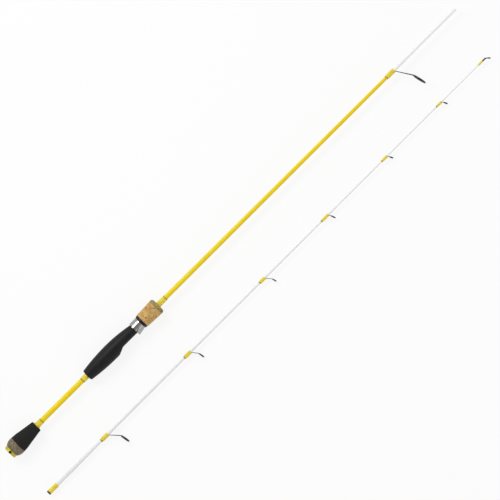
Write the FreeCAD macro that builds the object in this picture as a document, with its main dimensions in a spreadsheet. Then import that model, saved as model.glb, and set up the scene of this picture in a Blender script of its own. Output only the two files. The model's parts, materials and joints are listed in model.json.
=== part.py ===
import FreeCAD, Part

import math
import os
from types import SimpleNamespace

import Sketcher

Vector = FreeCAD.Vector

# A two-piece spinning rod with its sections laid side by side. Millimetres.
# The butt section lies along +X from the centre of its cap's face, which is the origin. The tip section
# lies beside it and points the same way. The line guides point to -Y and +Z is up.

SIZES = {
    # clearances
    "glueGap": 0.05,  # between a glued or bound piece and its seat
    "runGap": 0.3,  # between pieces that move past each other
    "ferruleGap": 0.02,  # radial, spigot in socket
    "passGap": 0.6,  # radial, foregrip over the thread wrap
    # butt cap
    "capRadius": 10.35,
    "capLength": 4.9,
    "capEdge": 0.9,
    "capSlotWidth": 3.6,
    "capSlotDepth": 4.2,
    "capPlugLength": 12.0,
    # rear grip
    "buttCorkRadius": 10.7,  # at the cap
    "gripRadius": 14.05,  # at its largest
    "buttCorkLength": 13.0,
    "buttCorkCrown": 8.8,  # length of its round end
    "gripStep": 0.15,
    "gripLength": 38.3,
    "gripShoulder": 14.0,
    "gripShoulderRadius": 12.3,
    "gripNoseRadius": 8.8,
    "gripNoseEdge": 0.8,
    "checkLength": 1.6,
    "checkRadius": 5.8,
    "checkCrown": 0.35,
    # thread wraps and trims
    "wrapEdge": 0.8,
    "wrapThread": 0.5,
    "trimWidth": 1.8,
    "trimThread": 0.42,
    "trimCrown": 0.12,
    "rearWrapLength": 8.4,
    "seatWrapLength": 8.6,
    "foreWrapLength": 13.5,
    # blank of the butt section
    "buttLength": 931.0,
    "buttRadius": 4.25,
    "kneeRadius": 3.8,  # where the slow taper under the handle ends
    "blankWall": 1.0,
    "spigotRadius": 2.45,
    "spigotLength": 50.0,
    "spigotLead": 0.4,
    # reel seat
    "splitLength": 83.6,  # bare blank between rear grip and reel seat
    "seatLength": 97.6,
    "seatRearRadius": 9.2,
    "seatRearEdge": 2.2,
    "seatSwell": 50.0,  # from its rear end to its thickest place
    "seatSwellRadius": 12.7,
    "seatNeckRadius": 8.2,
    "seatBore": 5.2,
    "saddleRadius": 7.5,
    "saddleLedge": 3.0,
    "hoodLip": 55.2,  # from the seat's rear end to the fixed hood's lip
    "hoodFace": 11.8,  # length of the slanted face above the lip
    "footDepth": 13.0,  # of the reel foot's pocket behind the lip
    "footCeiling": 11.9,
    "footAngle": 92.0,
    "barrelRadius": 7.1,
    "barrelStop": 2.0,  # the barrel ends this far short of the foregrip's end cap
    "barrelLead": 0.5,
    "keyWidth": 3.2,
    "keyDepth": 0.9,
    "arborLength": 16.0,
    "arborInset": 0.5,  # from the seat's ends to the outer arbors
    # sliding hood
    "hoodLength": 13.3,
    "hoodRadius": 10.1,
    "hoodWall": 0.8,
    "hoodEdge": 0.6,
    "hoodLipRadius": 8.3,
    "hoodLipLength": 0.8,
    "scoopRadius": 12.4,
    "scoopWall": 0.9,
    "scoopShort": 1.5,  # the scoop ends this far behind the hood's front
    "scoopRearSide": 7.4,  # height of the scoop's upper edge below the axis, at its rear and front
    "scoopFrontSide": 1.0,
    "scoopPocket": 8.6,
    # lock nut and foregrip
    "collarLength": 2.1,
    "nutLength": 4.0,
    "nutRearRadius": 9.9,
    "nutEdge": 1.4,
    "nutRadius": 11.1,
    "sleeveRadius": 8.6,
    "corkLength": 27.5,
    "corkRearRadius": 11.2,
    "corkEdge": 2.2,
    "corkBackRadius": 11.8,
    "corkFrontRadius": 12.75,
    "corkEndLength": 5.2,
    "corkEndFlat": 1.2,
    "corkEndRadius": 9.6,
    # tip section: its place beside the butt section, and its blank
    "tipX": -2.0,
    "tipY": -83.0,
    "tipRadius": 0.78,
    "socketWall": 0.5,
    "socketDepth": 54.0,
    "socketLead": 0.3,
    "socketStop": 0.3,
    "flareLength": 54.0,
    "flareRadius": 2.22,
    "tipWall": 0.7,
    "hollowLength": 600.0,
    "hollowRadius": 0.5,
    "bandLength": 2.7,
    "bandThread": 0.55,
    "ferruleWrapLength": 15.8,
    "ferruleThread": 0.65,
    # line guides: from the stripper's wrap to the butt section's front end, then from wrap to wrap
    "stripperBack": 143.0,
    "secondPitch": 111.7,
    "thirdPitch": 173.9,
    "fourthPitch": 157.2,
    "fifthPitch": 129.2,
    "sixthPitch": 126.0,
    "seventhPitch": 114.5,
    "topPitch": 100.0,
    "footStart": 1.0,  # from the rear end of a wrap to the tip of the guide's foot
    "footTip": 0.35,  # thickness of that tip, as a share of the sheet
    "footShare": 0.6,  # thickness of the foot at the bend, as a share of the sheet
    "heelShare": 0.8,  # the leg's length on the blank, as a share of the sheet
    "footThread": 0.4,  # thread over the foot
    "tongue": 0.5,  # from the ring to the bend in the guide's leg
    "legSpread": 0.62,  # half the leg's width at the ring, as a share of the ring's radius
    "windowStart": 0.3,  # where the opening between the struts starts, along the leg
    "windowNose": 0.3,
    "hoopDepth": 0.55,
    "rimChamfer": 0.3,
    "ringBulge": 0.45,
    # tip-top
    "topWrapLength": 8.7,
    "topThread": 0.3,
    "topTubeWall": 0.32,
    "topTubeLength": 15.6,
    "topTubeCap": 1.6,
    "topAhead": 5.2,
    "topDrop": 3.7,
    "topRing": 2.3,
    "topHole": 1.45,
    "topWidth": 1.5,
    "topLean": 45.0,
    "topGauge": 0.6,
    "topArm": 0.75,  # half the neck's width
    "topRoot": 0.75,  # how deep the neck starts in the tube, as a share of its radius
}

# Each guide: length of its wrap, ring centre ahead of the wrap and out from the blank, ring radius, hole
# radius, ring width, forward lean in degrees, sheet gauge, half width of the foot, and strut width.
# A strut width of 0 leaves the leg without an opening.
GUIDE_FIELDS = ("WrapLength", "Ahead", "Height", "Ring", "Hole", "Width", "Lean", "Gauge", "Foot", "Strut")
GUIDES = {
    "stripper": (15.0, 17.0, 36.0, 10.8, 8.4, 2.6, 12.5, 1.0, 1.2, 1.5),
    "second": (12.8, 13.3, 22.8, 7.45, 5.5, 2.5, 10.0, 1.0, 1.1, 1.3),
    "third": (12.0, 7.4, 15.3, 4.5, 3.2, 2.1, 9.0, 0.9, 1.0, 0.9),
    "fourth": (10.1, 7.1, 12.4, 3.6, 2.5, 1.9, 15.0, 0.8, 0.9, 0.8),
    "fifth": (13.5, 2.6, 7.6, 3.65, 2.5, 1.8, 20.0, 0.7, 0.8, 0.0),
    "sixth": (10.6, 2.6, 5.9, 2.95, 2.0, 1.7, 25.0, 0.7, 0.7, 0.0),
    "seventh": (10.0, 2.6, 5.7, 2.95, 2.0, 1.7, 25.0, 0.7, 0.6, 0.0),
}


class Size:
    """A length with its number and the spreadsheet expression that gives it."""

    def __init__(self, text, number):
        self.text = text
        self.number = number

    def __add__(self, other):
        other = sized(other)
        return Size(f"({self.text} + {other.text})", self.number + other.number)

    def __sub__(self, other):
        other = sized(other)
        return Size(f"({self.text} - {other.text})", self.number - other.number)

    def __mul__(self, other):
        other = sized(other)
        return Size(f"{self.text} * {other.text}", self.number * other.number)

    def __truediv__(self, other):
        other = sized(other)
        return Size(f"{self.text} / {other.text}", self.number / other.number)

    def __neg__(self):
        return Size(f"(0 - {self.text})", -self.number)


def sized(value):
    return value if isinstance(value, Size) else Size(f"({float(value)!r})", float(value))


def sine(angle):
    return Size(f"sin({angle.text})", math.sin(math.radians(angle.number)))


def cosine(angle):
    return Size(f"cos({angle.text})", math.cos(math.radians(angle.number)))


doc = FreeCAD.newDocument("SpinningRod")
sheet = doc.addObject("Spreadsheet::Sheet", "Sizes")
for key, row in GUIDES.items():
    for field, number in zip(GUIDE_FIELDS, row):
        SIZES[key + field] = number
for line, (alias, number) in enumerate(SIZES.items(), start=1):
    sheet.set(f"A{line}", alias)
    sheet.set(f"B{line}", str(number))
    sheet.setAlias(f"B{line}", alias)
doc.recompute()
s = SimpleNamespace(**{alias: Size(f"Sizes.{alias}", number) for alias, number in SIZES.items()})
zero = sized(0)

bodies = []
cuts = []


# Sketches and features


def newBody(label, place=None):
    body = doc.addObject("PartDesign::Body", label)
    body.Label = label
    for axis, size in zip("xyz", place or ()):
        body.setExpression(f"Placement.Base.{axis}", size.text)
    bodies.append(body)
    return body


def pin(sketch, geometry, position, x, y):
    for kind, size in (("DistanceX", x), ("DistanceY", y)):
        row = sketch.addConstraint(Sketcher.Constraint(kind, -1, 1, geometry, position, size.number))
        sketch.setExpression(f"Constraints[{row}]", size.text)


def drawOutline(sketch, corners):
    # A corner is (x, y), or (x, y, viaX, viaY) where an arc through the via point leads to it.
    corners = [tuple(sized(number) for number in corner) for corner in corners]
    edges = []
    for before, corner in zip([corners[-1]] + corners[:-1], corners):
        start = Vector(before[0].number, before[1].number)
        end = Vector(corner[0].number, corner[1].number)
        if len(corner) == 2:
            edge = sketch.addGeometry(Part.LineSegment(start, end))
            edges.append((edge, 1, 2))
            continue
        via = Vector(corner[2].number, corner[3].number)
        edge = sketch.addGeometry(Part.Arc(start, via, end))
        forward = sketch.getPoint(edge, 1).isEqual(start, 1e-6)
        edges.append((edge, 1, 2) if forward else (edge, 2, 1))
        point = sketch.addGeometry(Part.Point(via), True)
        pin(sketch, point, 1, corner[2], corner[3])
        sketch.addConstraint(Sketcher.Constraint("PointOnObject", point, 1, edge))
    for (edge, _, last), (following, first, _) in zip(edges, edges[1:] + edges[:1]):
        sketch.addConstraint(Sketcher.Constraint("Coincident", edge, last, following, first))
    for (edge, _, last), corner in zip(edges, corners):
        pin(sketch, edge, last, corner[0], corner[1])


def newSketch(body, plane, outlines, axis=None):
    sketch = body.newObject("Sketcher::SketchObject", body.Label + "_sketch")
    origin = [feature for feature in body.Origin.OriginFeatures if feature.Role == plane]
    sketch.AttachmentSupport = [(origin[0], "")]
    sketch.MapMode = "FlatFace"
    if axis:
        (x0, y0), (x1, y1) = axis
        line = sketch.addGeometry(
            Part.LineSegment(Vector(x0.number, y0.number), Vector(x1.number, y1.number)), True
        )
        pin(sketch, line, 1, x0, y0)
        pin(sketch, line, 2, x1, y1)
    for corners in outlines:
        drawOutline(sketch, corners)
    return sketch


def turn(body, corners, kind="Revolution", angle=None, axis=None):
    # Turns an outline of the XY plane about the X axis, or about an axis of its own.
    sketch = newSketch(body, "XY_Plane", [corners], axis)
    feature = body.newObject("PartDesign::" + kind, f"{body.Label}_{kind.lower()}")
    feature.Profile = sketch
    feature.ReferenceAxis = (sketch, ["Axis0" if axis else "H_Axis"])
    if angle:
        feature.setExpression("Angle", angle.text)
        feature.Midplane = True
    else:
        feature.Angle = 360
    if kind == "Groove":
        cuts.append(feature)
    return feature


def pad(body, corners, width):
    # Raises an outline of the XY plane to both sides.
    feature = body.newObject("PartDesign::Pad", body.Label + "_pad")
    feature.Profile = newSketch(body, "XY_Plane", [corners])
    feature.Midplane = True
    feature.setExpression("Length", width.text)
    return feature


def pocket(body, plane, outlines, width=None, forward=False):
    # Cuts through everything, to a width about the plane, or forward along the plane's normal.
    feature = body.newObject("PartDesign::Pocket", body.Label + "_pocket")
    feature.Profile = newSketch(body, plane, outlines)
    if width is None:
        feature.Type = "ThroughAll"
        feature.Midplane = True
    else:
        feature.setExpression("Length", width.text)
        feature.Midplane = not forward
        feature.Reversed = forward
    cuts.append(feature)
    return feature


def turned(label, corners, place=None):
    body = newBody(label, place)
    turn(body, corners)
    return body


# Outlines


def crest(low, high):
    # The corner at the far end of a long arc that is level at its high end.
    x = (low[0] + high[0]) / 2
    return x, high[1] - (high[1] - low[1]) / 4


def climb(low, high):
    return (*high, *crest(low, high))


def fall(high, low):
    return (*low, *crest(low, high))


def rounded(end, shoulder):
    # An arc between a flat end and the side of a turned piece.
    slack = 1 - math.sqrt(0.5)
    return (
        end[0] + (shoulder[0] - end[0]) * slack,
        shoulder[1] - (shoulder[1] - end[1]) * slack,
    )


def band(label, rear, front, radiusAt, thread, crown, place=None):
    # A narrow ring whose outside is slightly crowned.
    inner = radiusAt(rear) + s.glueGap
    outer = inner + thread
    corners = [
        (rear, inner),
        (rear, outer - crown),
        (front, outer - crown, (rear + front) / 2, outer),
        (front, radiusAt(front) + s.glueGap),
    ]
    return turned(label, corners, place)


def wrap(label, rear, front, radiusAt, thread, place=None):
    # A thread wrap under its coat of finish, with round ends.
    edge = s.wrapEdge
    low = thread / 2
    rearIn = radiusAt(rear) + s.glueGap
    frontIn = radiusAt(front) + s.glueGap
    rearShoulder = (rear + edge, rearIn + thread)
    frontShoulder = (front - edge, frontIn + thread)
    corners = [
        (rear, rearIn),
        (rear, rearIn + low),
        (*rearShoulder, *rounded((rear, rearIn + low), rearShoulder)),
        frontShoulder,
        (front, frontIn + low, *rounded((front, frontIn + low), frontShoulder)),
        (front, frontIn),
    ]
    return turned(label, corners, place)


# Stations along the butt section, from the cap's face to the front

capFront = s.capLength
buttCorkFront = capFront + s.buttCorkLength
gripFront = buttCorkFront + s.gripLength
checkFront = gripFront + s.checkLength
rearWrapFront = checkFront + s.rearWrapLength
rearTrimFront = rearWrapFront + s.trimWidth
seatTrimRear = rearTrimFront + s.splitLength
seatWrapRear = seatTrimRear + s.trimWidth
seatRear = seatWrapRear + s.seatWrapLength
seatShoulder = seatRear + s.seatLength
hoodRear = seatShoulder + s.runGap
hoodFront = hoodRear + s.hoodLength
hoodLipRear = hoodFront - s.hoodLipLength
collarFront = hoodLipRear - s.runGap
collarRear = collarFront - s.collarLength
cushionFront = collarRear - s.runGap
nutRear = hoodFront + s.runGap
nutFront = nutRear + s.nutLength
corkFront = nutFront + s.corkLength
barrelFront = corkFront - s.barrelStop
foregripFront = corkFront + s.corkEndLength
foreWrapRear = foregripFront + s.runGap
foreWrapFront = foreWrapRear + s.foreWrapLength
foreTrimFront = foreWrapFront + s.trimWidth
spigotRear = s.buttLength - s.spigotLength
blankRear = capFront + s.glueGap


def slope(x, rear, front, rearRadius, frontRadius):
    return rearRadius + (frontRadius - rearRadius) * ((x - rear) / (front - rear))


def buttRadiusAt(x):
    if x.number <= foreTrimFront.number:
        return slope(x, blankRear, foreTrimFront, s.buttRadius, s.kneeRadius)
    return slope(x, foreTrimFront, spigotRear, s.kneeRadius, s.spigotRadius)


def buttBore(x):
    return buttRadiusAt(x) + s.glueGap


def makeButtBlank():
    outer = [
        (blankRear, s.buttRadius),
        (foreTrimFront, s.kneeRadius),
        (spigotRear, s.spigotRadius),
    ]
    inner = [(x, radius - s.blankWall) for x, radius in reversed(outer)]
    end = [
        (s.buttLength - s.spigotLead, s.spigotRadius),
        (s.buttLength, s.spigotRadius - s.spigotLead),
        (s.buttLength, s.spigotRadius - s.blankWall),
    ]
    turned("butt_blank", outer + end + inner)


# Rear grip


def capOutline(front, radius):
    edge = (s.capEdge, radius)
    face = (zero, radius - s.capEdge)
    return [(zero, zero), face, (*edge, *rounded(face, edge)), (front, radius), (front, zero)]


def makeButtCap():
    cap = newBody("butt_cap")
    turn(cap, capOutline(capFront, s.capRadius))
    half = s.capSlotWidth / 2
    reach = s.capRadius + s.capEdge
    slot = [(-half, -reach), (half, -reach), (half, reach), (-half, reach)]
    pocket(cap, "YZ_Plane", [slot], s.capSlotDepth, forward=True)
    plug = s.buttRadius - s.blankWall - s.glueGap
    plugFront = capFront + s.capPlugLength
    plugRear = capFront - s.glueGap
    turn(cap, [(plugRear, zero), (plugRear, plug), (plugFront, plug), (plugFront, zero)])

    inlay = newBody("butt_cap_inlay")
    turn(inlay, capOutline(s.capSlotDepth - s.glueGap, s.capRadius))
    side = half - s.glueGap
    outside = [
        [(side * sign, -reach), (reach * sign, -reach), (reach * sign, reach), (side * sign, reach)]
        for sign in (1, -1)
    ]
    pocket(inlay, "YZ_Plane", outside)


def makeRearGrip():
    rim = (capFront, s.buttCorkRadius)
    crown = (capFront + s.buttCorkCrown, s.gripRadius)
    bore = buttBore(capFront)
    cork = [(capFront, bore), rim, climb(rim, crown), (buttCorkFront, s.gripRadius), (buttCorkFront, bore)]
    turned("butt_cork", cork)

    bore = buttBore(buttCorkFront)
    rear = (buttCorkFront, s.gripRadius - s.gripStep)
    shoulder = (buttCorkFront + s.gripShoulder, s.gripShoulderRadius)
    nose = (gripFront - s.gripNoseEdge, s.gripNoseRadius)
    face = (gripFront, s.gripNoseRadius - s.gripNoseEdge)
    grip = [
        (buttCorkFront, bore),
        rear,
        fall(rear, shoulder),
        nose,
        (*face, *rounded(face, nose)),
        (gripFront, bore),
    ]
    turned("rear_grip", grip)
    thread = s.checkRadius - buttBore(gripFront)
    band("rear_check", gripFront, checkFront, buttRadiusAt, thread, s.checkCrown)


# Reel seat


def makeReelSeat():
    seat = newBody("reel_seat")
    rearFace = (seatRear, s.seatRearRadius - s.seatRearEdge)
    rearShoulder = (seatRear + s.seatRearEdge, s.seatRearRadius)
    swell = (seatRear + s.seatSwell, s.seatSwellRadius)
    neck = (seatShoulder, s.seatNeckRadius)
    shape = [
        (seatRear, zero),
        rearFace,
        (*rearShoulder, *rounded(rearFace, rearShoulder)),
        climb(rearShoulder, swell),
        fall(swell, neck),
        (seatShoulder, zero),
    ]
    turn(seat, shape)

    # The slanted face of the fixed hood runs down to the saddle and up past its sides to a ledge.
    lip = seatRear + s.hoodLip
    pitch = s.hoodFace / (s.seatSwellRadius - s.saddleRadius)
    below = s.seatSwellRadius + s.runGap
    ledge = lip + (s.seatSwellRadius - s.saddleLedge) * pitch
    past = seatShoulder + s.runGap
    opening = [
        (lip - pitch * s.runGap, -below),
        (ledge, -s.saddleLedge),
        (past, -s.saddleLedge),
        (past, -below),
    ]
    pocket(seat, "XY_Plane", [opening])
    barrel = [
        (lip, zero),
        (lip, s.saddleRadius),
        (seatShoulder, s.saddleRadius),
        (seatShoulder, s.barrelRadius),
        (barrelFront - s.barrelLead, s.barrelRadius),
        (barrelFront, s.barrelRadius - s.barrelLead),
        (barrelFront, zero),
    ]
    turn(seat, barrel)

    pocketRear = lip - s.footDepth
    pocketFront = lip + s.hoodFace + s.runGap
    foot = [
        (pocketRear, -s.saddleRadius),
        (pocketRear, -s.footCeiling),
        (pocketFront, -s.footCeiling),
        (pocketFront, -s.saddleRadius),
    ]
    turn(seat, foot, "Groove", s.footAngle)
    key = [
        (seatShoulder, s.barrelRadius - s.keyDepth),
        (barrelFront + s.runGap, s.barrelRadius - s.keyDepth),
        (barrelFront + s.runGap, s.barrelRadius + s.runGap),
        (seatShoulder, s.barrelRadius + s.runGap),
    ]
    pocket(seat, "XY_Plane", [key], s.keyWidth)
    rear = seatRear - s.runGap
    front = barrelFront + s.runGap
    turn(seat, [(rear, zero), (rear, s.seatBore), (front, s.seatBore), (front, zero)], "Groove")

    outer = s.seatBore - s.glueGap
    first = seatRear + s.arborInset
    last = barrelFront - s.arborInset - s.arborLength
    for number in range(3):
        start = first + (last - first) * (number / 2)
        end = start + s.arborLength
        bore = buttBore(start)
        turned(f"seat_arbor_{number + 1}", [(start, bore), (start, outer), (end, outer), (end, bore)])


# Sliding hood, lock nut and foregrip


def makeSlidingHood():
    inner = s.hoodRadius - s.hoodWall
    hood = newBody("sliding_hood")
    scoopFront = hoodFront - s.scoopShort
    scoop = [
        (hoodRear, inner),
        (hoodRear, s.scoopRadius),
        (scoopFront, s.hoodRadius),
        (scoopFront, inner),
    ]
    turn(hood, scoop)
    above = s.scoopRadius + s.runGap
    rise = (s.scoopRearSide - s.scoopFrontSide) / s.hoodLength
    upper = [
        (hoodRear - s.runGap, -s.scoopRearSide - rise * s.runGap),
        (hoodFront, -s.scoopFrontSide),
        (hoodFront, above),
        (hoodRear - s.runGap, above),
    ]
    pocket(hood, "XY_Plane", [upper])
    face = (hoodFront, s.hoodRadius - s.hoodEdge)
    side = (hoodFront - s.hoodEdge, s.hoodRadius)
    shell = [
        (hoodRear, inner),
        (hoodRear, s.hoodRadius),
        side,
        (*face, *rounded(face, side)),
        (hoodFront, s.hoodLipRadius),
        (hoodLipRear, s.hoodLipRadius),
        (hoodLipRear, inner),
    ]
    turn(hood, shell)
    pocketFront = hoodRear + s.scoopPocket
    fallRate = (s.scoopRadius - s.hoodRadius) / (scoopFront - hoodRear)
    ceiling = s.scoopRadius - s.scoopWall
    foot = [
        (hoodRear - s.runGap, -s.barrelRadius),
        (hoodRear - s.runGap, -ceiling - fallRate * s.runGap),
        (pocketFront, -ceiling + fallRate * s.scoopPocket),
        (pocketFront, -s.barrelRadius),
    ]
    turn(hood, foot, "Groove", s.footAngle)

    bore = s.barrelRadius + s.runGap
    outer = inner - s.glueGap
    cushion = newBody("hood_cushion")
    turn(cushion, [(hoodRear, bore), (hoodRear, outer), (cushionFront, outer), (cushionFront, bore)])
    notch = [
        (hoodRear - s.runGap, -s.barrelRadius),
        (hoodRear - s.runGap, -s.hoodRadius),
        (pocketFront, -s.hoodRadius),
        (pocketFront, -s.barrelRadius),
    ]
    turn(cushion, notch, "Groove", s.footAngle)
    keyTip = s.barrelRadius - s.keyDepth + s.runGap
    root = bore + s.runGap
    key = [(hoodRear, keyTip), (cushionFront, keyTip), (cushionFront, root), (hoodRear, root)]
    pad(cushion, key, s.keyWidth - s.runGap * 2)


def makeForegrip():
    bore = s.barrelRadius + s.runGap
    collar = s.hoodRadius - s.hoodWall - s.runGap
    neck = s.hoodLipRadius - s.runGap
    sleeveFront = corkFront - s.glueGap
    ringRear = (nutRear, s.nutRearRadius)
    ringEdge = (nutRear + s.nutEdge, s.nutRadius)
    nut = [
        (collarRear, bore),
        (collarRear, collar),
        (collarFront, collar),
        (collarFront, neck),
        (nutRear, neck),
        ringRear,
        (*ringEdge, *rounded(ringRear, ringEdge)),
        (nutFront, s.nutRadius),
        (nutFront, s.sleeveRadius),
        (sleeveFront, s.sleeveRadius),
        (sleeveFront, bore),
    ]
    turned("lock_nut", nut)

    corkBore = s.sleeveRadius + s.glueGap
    rear = (nutFront, s.corkRearRadius)
    edge = (nutFront + s.corkEdge, s.corkBackRadius)
    cork = [
        (nutFront, corkBore),
        rear,
        (*edge, *rounded(rear, edge)),
        (corkFront, s.corkFrontRadius),
        (corkFront, corkBore),
    ]
    turned("foregrip_cork", cork)

    endBore = buttRadiusAt(foreWrapRear) + s.wrapThread + s.passGap
    crown = (corkFront + s.corkEndFlat, s.corkFrontRadius)
    front = (foregripFront, s.corkEndRadius)
    end = [
        (corkFront, endBore),
        (corkFront, s.corkFrontRadius),
        crown,
        (*front, *rounded(front, crown)),
        (foregripFront, endBore),
    ]
    turned("foregrip_end", end)


def makeButtWraps():
    for label, rear, front in (
        ("rear_wrap", checkFront, rearWrapFront),
        ("seat_wrap", seatWrapRear, seatRear),
        ("fore_wrap", foreWrapRear, foreWrapFront),
    ):
        wrap(label, rear, front, buttRadiusAt, s.wrapThread)
    for label, rear in (
        ("rear_trim", rearWrapFront),
        ("seat_trim", seatTrimRear),
        ("fore_trim", foreWrapFront),
    ):
        band(label, rear, rear + s.trimWidth, buttRadiusAt, s.trimThread, s.trimCrown)


# Blank of the tip section, in the section's own frame: X from its rear end

socketRadius = s.spigotRadius + s.ferruleGap
socketOuter = socketRadius + s.socketWall
socketEnd = s.socketDepth + s.socketWall
flareFront = socketEnd + s.flareLength
wrapRears = {}
tipLength = zero
for key in list(GUIDES)[1:]:
    tipLength = tipLength + getattr(s, key + "Pitch")
    wrapRears[key] = tipLength
tipLength = tipLength + s.topPitch
tipPlace = (s.tipX, s.tipY, s.secondRing - s.gripRadius)  # its largest low ring rests level with the grip


def tipRadiusAt(x):
    if x.number <= socketEnd.number:
        return socketOuter
    if x.number <= flareFront.number:
        return slope(x, socketEnd, flareFront, socketOuter, s.flareRadius)
    return slope(x, flareFront, tipLength, s.flareRadius, s.tipRadius)


def makeTipBlank():
    blank = [
        (zero, socketOuter),
        (socketEnd, socketOuter),
        (flareFront, s.flareRadius),
        (tipLength, s.tipRadius),
        (tipLength, zero),
        (s.hollowLength, zero),
        (s.hollowLength, s.hollowRadius),
        (flareFront, s.flareRadius - s.tipWall),
        (s.socketDepth, socketRadius - s.socketStop),
        (s.socketDepth, socketRadius),
        (s.socketLead, socketRadius),
        (zero, socketRadius + s.socketLead),
    ]
    turned("tip_blank", blank, tipPlace)
    band("ferrule_band", zero, s.bandLength, tipRadiusAt, s.bandThread, s.trimCrown, tipPlace)
    wrapFront = s.bandLength + s.ferruleWrapLength
    wrap("ferrule_wrap", s.bandLength, wrapFront, tipRadiusAt, s.ferruleThread, tipPlace)


# Line guides


class Ring:
    """A ring seen from the side: its centre, its radius and its lean away from the blank's normal."""

    def __init__(self, x, y, radius, lean):
        self.x = x
        self.y = y
        self.radius = radius
        self.sine = sine(lean)
        self.cosine = cosine(lean)

    def at(self, along, out):
        # A point this far along the ring's axis and this far out from it, away from the blank.
        along = sized(along)
        out = sized(out)
        x = self.x + along * self.cosine + out * self.sine
        y = self.y + along * self.sine - out * self.cosine
        return x, y

    def axis(self):
        return self.at(-self.radius, 0), self.at(self.radius, 0)

    def block(self, half, inner, outer):
        return [self.at(-half, inner), self.at(-half, outer), self.at(half, outer), self.at(half, inner)]


def makeRing(label, ring, hole, width, gauge, place):
    # The ring's inside is round, and a groove about its outside takes the frame's hoop.
    half = width / 2
    groove = gauge / 2 + s.glueGap
    floor = ring.radius - s.hoopDepth
    shoulder = hole + s.ringBulge
    shape = [
        ring.at(-groove, floor),
        ring.at(-groove, ring.radius),
        ring.at(-half, ring.radius - s.rimChamfer),
        ring.at(-half, shoulder),
        (*ring.at(half, shoulder), *ring.at(0, hole)),
        ring.at(half, ring.radius - s.rimChamfer),
        ring.at(groove, ring.radius),
        ring.at(groove, floor),
    ]
    body = newBody(label, place)
    turn(body, shape, axis=ring.axis())


def addHoop(frame, ring, gauge):
    # Clears the ring's seat in the leg, then closes the hoop about it.
    seat = ring.radius - s.hoopDepth + s.glueGap
    turn(frame, ring.block(gauge, zero, seat), "Groove", axis=ring.axis())
    turn(frame, ring.block(gauge / 2, seat, ring.radius), axis=ring.axis())


def makeGuide(name, key, wrapRear, radiusAt, place=None):
    get = {field: getattr(s, key + field) for field in GUIDE_FIELDS}
    wrapFront = wrapRear + get["WrapLength"]
    gauge = get["Gauge"]
    footRear = wrapRear + s.footStart
    foot = radiusAt(footRear) + s.glueGap
    ring = Ring(wrapFront + get["Ahead"], -get["Height"], get["Ring"], get["Lean"])

    # The leg is one strip of sheet: foot, bend at the wrap, slanted leg, bend at the ring and tongue.
    frame = newBody(f"{name}_frame", place)
    half = gauge / 2
    bend = wrapFront + s.glueGap
    sole = foot + gauge * s.footShare
    neck = -(ring.radius + s.tongue)
    spread = ring.radius * s.legSpread
    tongueEnd = -spread
    strip = [
        (footRear, -foot),
        (bend + gauge * s.heelShare, -foot),
        ring.at(half, neck),
        ring.at(half, tongueEnd),
        ring.at(-half, tongueEnd),
        ring.at(-half, neck),
        (bend, -sole),
        (footRear, -foot - gauge * s.footTip),
    ]
    pad(frame, strip, spread * 2)
    neckY = ring.at(0, neck)[1]
    top = -foot + gauge
    side = get["Foot"]
    outside = spread + gauge
    taper = [
        [
            (top, side * sign),
            (-sole, side * sign),
            (neckY, spread * sign),
            (neckY, outside * sign),
            (top, outside * sign),
        ]
        for sign in (1, -1)
    ]
    pocket(frame, "YZ_Plane", taper)
    if get["Strut"].number > 0:
        start = (neckY + sole) * s.windowStart - sole
        wide = spread - get["Strut"]
        window = [
            (start, s.windowNose),
            (neckY, wide),
            (ring.y, wide),
            (ring.y, -wide),
            (neckY, -wide),
            (start, -s.windowNose),
        ]
        pocket(frame, "YZ_Plane", [window])
    addHoop(frame, ring, gauge)
    makeRing(f"{name}_ring", ring, get["Hole"], get["Width"], gauge, place)

    bound = wrap(f"{name}_wrap", wrapRear, wrapFront, radiusAt, gauge * s.footShare + s.footThread, place)
    slot = [
        (footRear - s.glueGap, top),
        (bend, top),
        (bend, -sole - s.glueGap),
        (footRear - s.glueGap, -sole - s.glueGap),
    ]
    pocket(bound, "XY_Plane", [slot], (side + s.glueGap) * 2)
    trimRear = wrapRear - s.trimWidth
    band(f"{name}_trim", trimRear, wrapRear, radiusAt, s.trimThread, s.trimCrown, place)


def makeTipTop():
    bore = s.tipRadius + s.glueGap
    outer = bore + s.topTubeWall
    stop = tipLength + s.glueGap
    tubeFront = stop + s.topTubeCap
    tubeRear = tubeFront - s.topTubeLength
    ring = Ring(tipLength + s.topAhead, -s.topDrop, s.topRing, s.topLean)
    frame = newBody("tip_top_frame", tipPlace)
    neck = -(ring.radius + s.tongue)
    half = s.topGauge / 2
    reach = ring.radius * s.legSpread
    root = outer * s.topRoot
    arm = [
        (stop, outer / 2),
        (tubeFront, outer / 2),
        ring.at(half, neck),
        ring.at(half, -reach),
        ring.at(-half, -reach),
        ring.at(-half, neck),
        (tubeFront - half, -root),
        (stop, -root),
    ]
    pad(frame, arm, s.topArm * 2)
    tube = [
        (tubeRear, bore),
        (tubeRear, outer),
        (tubeFront - half, outer),
        (tubeFront, outer - half),
        (tubeFront, zero),
        (stop, zero),
        (stop, bore),
    ]
    turn(frame, tube)
    addHoop(frame, ring, s.topGauge)
    makeRing("tip_top_ring", ring, s.topHole, s.topWidth, s.topGauge, tipPlace)

    def tubeRadius(_):
        return outer

    wrap("tip_top_wrap", tubeRear, tubeRear + s.topWrapLength, tubeRadius, s.topThread, tipPlace)


def checkModel():
    doc.recompute()
    for item in doc.Objects:
        bad = [state for state in item.State if state in ("Invalid", "Error")]
        if bad:
            raise RuntimeError(f"{item.Label}: {bad}")
    for body in bodies:
        shape = body.Shape
        if shape.isNull() or not shape.isValid() or len(shape.Solids) != 1:
            raise RuntimeError(f"{body.Label}: not one valid solid")
    for cut in cuts:
        if cut.Shape.Volume >= cut.BaseFeature.Shape.Volume:
            raise RuntimeError(f"{cut.Label}: it cuts nothing")


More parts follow.
